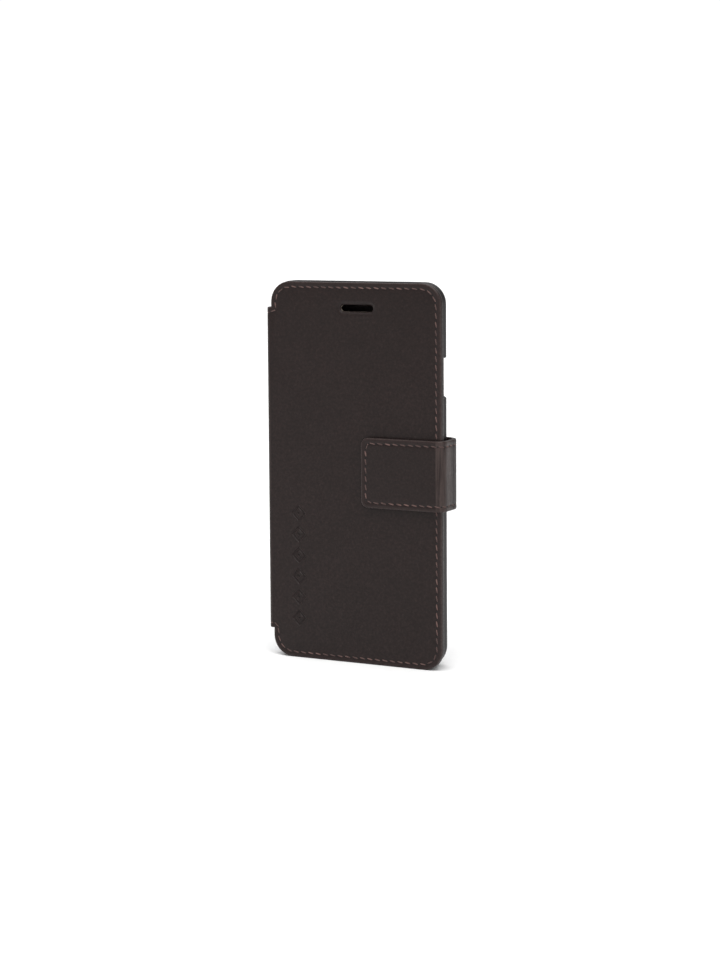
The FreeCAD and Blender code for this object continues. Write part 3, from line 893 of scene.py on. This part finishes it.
class WALLETCASE_OT_strap(bpy.types.Operator):
    """The strap's outer leather, lining and thread, from its tip round to the back"""
    bl_idname = "walletcase.strap"
    bl_label = "Strap"

    def execute(self, context):
        size = sizes()
        wrap = strap_wrap(size)
        tip = wrap.along(TIP_LOW.x)
        end = wrap.along(ANCHOR_LOW.x, to_back=True)
        points = rectangle(tip, end, TIP_LOW.z, TIP_HIGH.z)
        corners = [size.strap_corner] * 4
        outer, seam, _, _ = blank(points, corners, seam_rings(0.42 * MM, size),
                                  STRAP_LAYER, size.seam_inset)
        plain = in_mm((0.0, 0.12), (0.05, 0.05), (0.12, 0.0), (0.5, 0.0))
        lining, _, _, _ = blank(points, corners, plain, STRAP_LAYER - 0.04 * MM)
        bmesh.ops.rotate(lining, verts=lining.verts[:], cent=(0, 0, 0),
                         matrix=Matrix.Rotation(math.pi, 3, "Z"))
        bmesh.ops.translate(lining, verts=lining.verts[:],
                            vec=(tip + end, 2 * STRAP_LAYER, 0))
        folds = wrap.fold_places(2.4 * MM, 0.24 * MM)
        rub_and_sheen = outer.verts.layers.float["rub_and_sheen"]
        cut_across(outer, 0, folds)
        cut_across(outer, 2, steps(TIP_LOW.z, TIP_HIGH.z, 1.3 * MM))
        cut_across(lining, 0, folds[::2])
        groove = outer.verts.layers.float["seam"]
        for vert in outer.verts:
            past = -vert.co.x - wrap.half - wrap.arc
            low = limited(-vert.co.x / (1.2 * MM))
            high = limited((0.3 * MM - past) / (0.3 * MM))
            # the bend's lighter band is partly wear and partly a painted highlight
            vert[rub_and_sheen] = low * high
            # the wrinkles are pressed in and also darkened through the seam layer as painted shade
            if vert.co.y < STRAP_LAYER * 0.7:
                deep = crease(vert.co.x, vert.co.z)
                vert.co.y += deep
                vert[groove] = max(vert[groove], min(1.0, deep / (0.08 * MM)))
        rows = walk(seam, size.stitch_pitch)
        under = [(Vector((-place.x, place.y)), Vector((-way.x, way.y)))
                 for place, way in rows]
        cross_x = wrap.along(TRAY_HIGH.x - 6.0 * MM, to_back=True)
        cross = [Vector((cross_x, TIP_LOW.z + 2 * size.seam_inset)),
                 Vector((cross_x, TIP_HIGH.z - 2 * size.seam_inset))]
        rows = rows + walk(cross, size.stitch_pitch, closed=False)
        flip = facing_back(2 * STRAP_LAYER)
        for keep, bodies, name, nodes, start, stop in self.halves(size):
            half = half_of(outer, keep)
            wrap.lay(half)
            leather_piece = as_object(half, "strap_%s_hide" % name, [hide_leather()])
            half = half_of(lining, keep)
            wrap.lay(half)
            lining_piece = as_object(half, "strap_%s_lining" % name, [lining_leather()])
            thread = thread_mesh([row for row in rows if row[0].x * keep > 0],
                                 size.groove_depth)
            if name == "tip":
                inside = thread_mesh([row for row in under if row[0].x > 0], 0.10 * MM)
                moved(inside, flip)
                joined(thread, inside)
            wrap.lay(thread)
            thread_piece = thread_object(thread, "strap_%s_thread" % name)
            for piece in (leather_piece, lining_piece, thread_piece):
                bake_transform(piece, bodies[0], bodies[1], start, stop)
            for piece, replaced in zip((leather_piece, lining_piece, thread_piece), nodes):
                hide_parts(*replaced)
        outer.free()
        lining.free()
        return {"FINISHED"}

    def halves(self, size):
        """For each half: side kept, bodies, name, replaced nodes, bending's ends."""
        reach = size.strap_round * 0.63
        shift = 0.4 * MM
        back_reach = size.strap_back_round + 0.6 * MM
        right = SIDE_HIGH.x
        middle = (TIP_LOW.z + TIP_HIGH.z) / 2
        front = TIP_LOW.y
        rear = ANCHOR_HIGH.y
        return [(-1, ("strap_side", "strap_tip"), "tip",
                 (["strap_tip_leather"], ["strap_tip_lining"], ["strap_tip_stitches"]),
                 (right - shift, front + reach - shift, middle),
                 (right - reach - shift, front - shift, middle)),
                (1, ("back", "strap_side"), "anchor",
                 (["strap_anchor_leather", "strap_side_leather"],
                  ["strap_anchor_lining", "strap_side_lining"],
                  ["strap_anchor_stitches", "strap_side_stitches"]),
                 (right - back_reach, rear, middle), (right, rear - back_reach, middle))]


# ---- linings and pockets
def facing_back(face_y):
    """Lays a flat pattern facing the back; the pattern's x runs against X."""
    return Matrix.Translation((0.0, face_y, 0.0)) @ Matrix.Rotation(math.pi, 4, "Z")


def facing_right(face_x):
    """Lays a flat pattern facing the free side; the pattern's x runs along Y."""
    return Matrix.Translation((face_x, 0.0, 0.0)) @ Matrix.Rotation(QUARTER_TURN, 4, "Z")


class WALLETCASE_OT_linings(bpy.types.Operator):
    """The cover's inner leather with its seam, and the thin lining inside the spine"""
    bl_idname = "walletcase.linings"
    bl_label = "Linings"

    def execute(self, context):
        size = sizes()
        thick = LINING_HIGH.y - LINING_LOW.y
        points = rectangle(-LINING_HIGH.x, -LINING_LOW.x, LINING_LOW.z, LINING_HIGH.z)
        bm, seam, face, under = blank(points, [size.cover_corner] * 4,
                                      seam_rings(0.3 * MM, size), thick, size.seam_inset)
        x = size.slot_from_edge - COVER_HIGH.x
        z = COVER_HIGH.z - size.slot_from_top
        lip_rings = in_mm((0.0, 0.0), (0.15, 0.03), (0.35, 0.14), (0.5, 0.34))
        slot = (x, z, size.slot_width, size.slot_height, 0.5 * MM, lip_rings)
        work_faces(bm, face, under, [slot])
        bmesh.ops.recalc_face_normals(bm, faces=bm.faces[:])
        lay = facing_back(LINING_HIGH.y)
        moved(bm, lay)
        piece = as_object(bm, "cover_inner_leather", [lining_leather()])
        thread = thread_mesh(walk(seam, size.stitch_pitch), size.groove_depth)
        moved(thread, lay)
        thread_piece = thread_object(thread, "thread_cover_inside")
        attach(piece, "cover")
        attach(thread_piece, "cover")
        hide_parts("cover_lining")

        thick = SPINE_LINING_HIGH.x - SPINE_LINING_LOW.x
        points = rectangle(SPINE_LINING_LOW.y, SPINE_LINING_HIGH.y,
                           SPINE_LINING_LOW.z, SPINE_LINING_HIGH.z)
        rings = in_mm((0.0, 0.14), (0.06, 0.05), (0.16, 0.0), (0.6, 0.0), (0.75, 0.05),
                      (0.9, 0.0), (1.2, 0.0))
        bm, _, _, _ = blank(points, [0.8 * MM] * 4, rings, thick)
        moved(bm, facing_right(SPINE_LINING_HIGH.x))
        piece = as_object(bm, "spine_inner_leather", [lining_leather()])
        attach(piece, "spine")
        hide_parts("spine_lining")
        return {"FINISHED"}


class WALLETCASE_OT_pockets(bpy.types.Operator):
    """The banknote pocket and the stepped card pockets inside the cover"""
    bl_idname = "walletcase.pockets"
    bl_label = "Pockets"

    def execute(self, context):
        size = sizes()
        names = ["cash_pocket", "card_pocket_1", "card_pocket_2", "card_pocket_3"]
        boxes = [(CASH_LOW, CASH_HIGH)] + CARD_BOXES
        tops = [high.z for _, high in boxes] + [CASH_LOW.z + 1.4 * MM]
        threads = []
        for number, (name, (low, high)) in enumerate(zip(names, boxes)):
            thick = high.y - low.y
            points = rectangle(-high.x, -low.x, low.z, high.z)
            rings = in_mm((0.0, 0.09), (0.04, 0.03), (0.1, 0.0), (1.35, 0.0), (1.5, 0.05),
                          (1.65, 0.0), (2.2, 0.0))
            bm, _, _, _ = blank(points, [2.5 * MM] * 4, rings, thick)
            cut_across(bm, 0, steps(-high.x, -low.x, 4.0 * MM))
            cut_across(bm, 2, steps(high.z - 14.0 * MM, high.z, 1.6 * MM))
            for vert in bm.verts:
                vert.co.y -= self.mouth_lift(vert.co, low, high)
            lay = facing_back(high.y)
            moved(bm, lay)
            piece = as_object(bm, name + "_leather", [lining_leather()])
            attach(piece, "cover")
            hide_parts(name)
            for x in (-high.x + 1.5 * MM, -low.x - 1.5 * MM):
                row = [Vector((x, tops[number + 1] + 0.5 * MM)),
                       Vector((x, high.z - 0.7 * MM))]
                threads.append((walk(row, size.stitch_pitch, closed=False), high.y))
        foot_z = CASH_LOW.z + 1.5 * MM
        foot = [Vector((-CASH_HIGH.x + 3.5 * MM, foot_z)),
                Vector((-CASH_LOW.x - 3.5 * MM, foot_z))]
        threads.append((walk(foot, size.stitch_pitch, closed=False), boxes[-1][1].y))
        whole = bmesh.new()
        for rows, face_y in threads:
            part = thread_mesh(rows, 0.05 * MM)
            moved(part, facing_back(face_y))
            joined(whole, part)
        thread_piece = thread_object(whole, "thread_pockets")
        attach(thread_piece, "cover")
        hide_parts("pocket_stitches")
        return {"FINISHED"}

    def mouth_lift(self, point, low, high):
        """A pocket's mouth stands a little open in the middle."""
        middle = -(low.x + high.x) / 2
        across = (point.x - middle) / ((high.x - low.x) / 2)
        down = min(1.0, (high.z - point.z) / (13.0 * MM))
        fall = (1.0 - down) ** 2 * (1.0 + 2.0 * down)
        return 0.26 * MM * max(0.0, 1.0 - across ** 4) ** 2 * fall


# ---- the tray and the hidden parts
def welded_copy(node):
    """A merged copy of a CAD node's mesh with its flat faces joined."""
    bm = bmesh.new()
    bm.from_mesh(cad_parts[node].data)
    bmesh.ops.remove_doubles(bm, verts=bm.verts[:], dist=2e-6)
    bmesh.ops.dissolve_limit(bm, angle_limit=math.radians(1.0), verts=bm.verts[:],
                             edges=bm.edges[:])
    return bm


def coat(node, material):
    """Gives a CAD node that stays its own procedural material."""
    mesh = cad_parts[node].data
    mesh.materials.clear()
    mesh.materials.append(material)


class WALLETCASE_OT_tray(bpy.types.Operator):
    """The moulded phone tray with eased edges, its pad, and the stiffener and magnet"""
    bl_idname = "walletcase.tray"
    bl_label = "Tray"

    def execute(self, context):
        tray = as_object(welded_copy("phone_tray"), "tray_shell", [tray_plastic()])
        eased = tray.modifiers.new("eased_edges", "BEVEL")
        eased.width = 0.18 * MM
        eased.segments = 2
        eased.limit_method = "ANGLE"
        eased.angle_limit = math.radians(50.0)
        eased.harden_normals = True
        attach(tray, "back")
        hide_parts("phone_tray")
        coat("tray_liner", grained("napped_cloth", colours().pad, 2600.0, 0.00006, 0.85, 0.95,
                                   sheen=0.25))
        coat("cover_board", grained("pressed_board", (0.30, 0.26, 0.21), 1500.0, 0.00004,
                                    0.8, 0.95))
        coat("catch_plate", grained("plain_steel", (0.50, 0.50, 0.51), 1800.0, 0.00001,
                                    0.28, 0.42, metal=1.0, stretch=(1.0, 1.0, 0.05),
                                    contrast=0.12))
        coat("strap_magnet", grained("nickel_plate", (0.55, 0.53, 0.50), 2500.0, 0.00001,
                                     0.2, 0.34, metal=1.0, contrast=0.1))
        return {"FINISHED"}


# ---- the stage
class WALLETCASE_OT_stage(bpy.types.Operator):
    """The pale floor, the soft lights and the camera"""
    bl_idname = "walletcase.stage"
    bl_label = "Stage"

    def execute(self, context):
        self.floor()
        self.lights()
        self.camera(context)
        context.scene.view_settings.view_transform = "Standard"
        return {"FINISHED"}

    def floor(self):
        """A wide pale disc just under the case."""
        bm = bmesh.new()
        bmesh.ops.create_circle(bm, cap_ends=True, segments=96, radius=6.0)
        floor = as_object(bm, "floor", [grained("stage_floor", colours().stage, 40.0,
                                                0.00005, 0.8, 0.95, contrast=0.01)])

    def lamp(self, name, kind, power):
        """A light of one kind, named and linked."""
        light = bpy.data.lights.new(name, kind)
        light.energy = power
        made = bpy.data.objects.new(name, light)
        bpy.context.scene.collection.objects.link(made)
        return made

    def lights(self):
        """Soft overhead light, a panel to each side and a pale surround."""
        for name, turn, power, spread in (("overhead_right", (28, 0, 38), 2.4, 50),
                                          ("overhead_left", (30, 0, -62), 1.1, 70),
                                          ("overhead_back", (-32, 0, 20), 0.9, 70)):
            lamp = self.lamp(name, "SUN", power)
            lamp.data.angle = math.radians(spread)
            lamp.rotation_euler = [math.radians(part) for part in turn]
        panels = [("panel_right", (0.95, -0.62, 0.62), 0.35, 0.7, 1.6),
                  ("panel_left", (-1.10, -0.55, 0.35), 0.5, 0.8, 0.8)]
        for name, place, wide, high, power in panels:
            panel = self.lamp(name, "AREA", power)
            panel.data.shape = "RECTANGLE"
            panel.data.size = wide
            panel.data.size_y = high
            panel.location = place
            aim = Vector((0.0, 0.0, 0.07)) - Vector(place)
            panel.rotation_euler = aim.to_track_quat("-Z", "Y").to_euler()
        world = bpy.data.worlds.new("studio")
        world.use_nodes = True
        tree = world.node_tree
        surround = tree.nodes["Background"]
        surround.inputs["Color"].default_value = (1.0, 1.0, 1.0, 1.0)
        seen = tree.nodes.new("ShaderNodeLightPath").outputs["Is Camera Ray"]
        tree.links.new(between(tree, seen, 0.0, 1.0, 0.30, 1.05),
                       surround.inputs["Strength"])
        bpy.context.scene.world = world

    def camera(self, context):
        """A long lens a little above and to the right of the cover."""
        data = bpy.data.cameras.new("camera")
        data.lens = 85.39
        data.sensor_width = 36.0
        data.shift_y = -0.09375
        data.clip_start = 0.01
        data.clip_end = 50.0
        camera = bpy.data.objects.new("camera", data)
        context.scene.collection.objects.link(camera)
        place = Vector((0.39255, -0.74755, 0.1800))
        aim = Vector((0.002386, -0.00615, 0.102684))
        ahead = (aim - place).normalized()
        roll = math.radians(-0.385)
        right = ahead.cross(Vector((0.0, 0.0, 1.0))).normalized()
        up = right.cross(ahead)
        right, up = (right * math.cos(roll) + up * math.sin(roll),
                     up * math.cos(roll) - right * math.sin(roll))
        turn = Matrix((right, up, -ahead)).transposed().to_4x4()
        camera.matrix_world = Matrix.Translation(place) @ turn
        context.scene.camera = camera


# ---- the add-on
class WALLETCASE_PT_panel(bpy.types.Panel):
    """Lists the case's pieces and its sizes and colours"""
    bl_idname = "WALLETCASE_PT_panel"
    bl_label = "Wallet Case"
    bl_space_type = "VIEW_3D"
    bl_region_type = "UI"
    bl_category = "Wallet Case"

    def draw(self, context):
        layout = self.layout
        for operator in OPERATORS:
            layout.operator(operator.bl_idname)
        for group in (context.scene.case_sizes, context.scene.case_colours):
            box = layout.box()
            for name in group.__annotations__:
                box.prop(group, name)


OPERATORS = (WALLETCASE_OT_stage, WALLETCASE_OT_outer_hide, WALLETCASE_OT_strap,
             WALLETCASE_OT_linings, WALLETCASE_OT_pockets, WALLETCASE_OT_tray)
CLASSES = (CaseSizes, CaseColours) + OPERATORS + (WALLETCASE_PT_panel,)


def register():
    for kind in CLASSES:
        bpy.utils.register_class(kind)
    bpy.types.Scene.case_sizes = bpy.props.PointerProperty(type=CaseSizes)
    bpy.types.Scene.case_colours = bpy.props.PointerProperty(type=CaseColours)


def unregister():
    del bpy.types.Scene.case_colours
    del bpy.types.Scene.case_sizes
    for kind in reversed(CLASSES):
        bpy.utils.unregister_class(kind)


def main():
    """Builds every piece in order."""
    register()
    for operator in OPERATORS:
        family, name = operator.bl_idname.split(".")
        getattr(getattr(bpy.ops, family), name)()


if __name__ == "__main__":
    main()
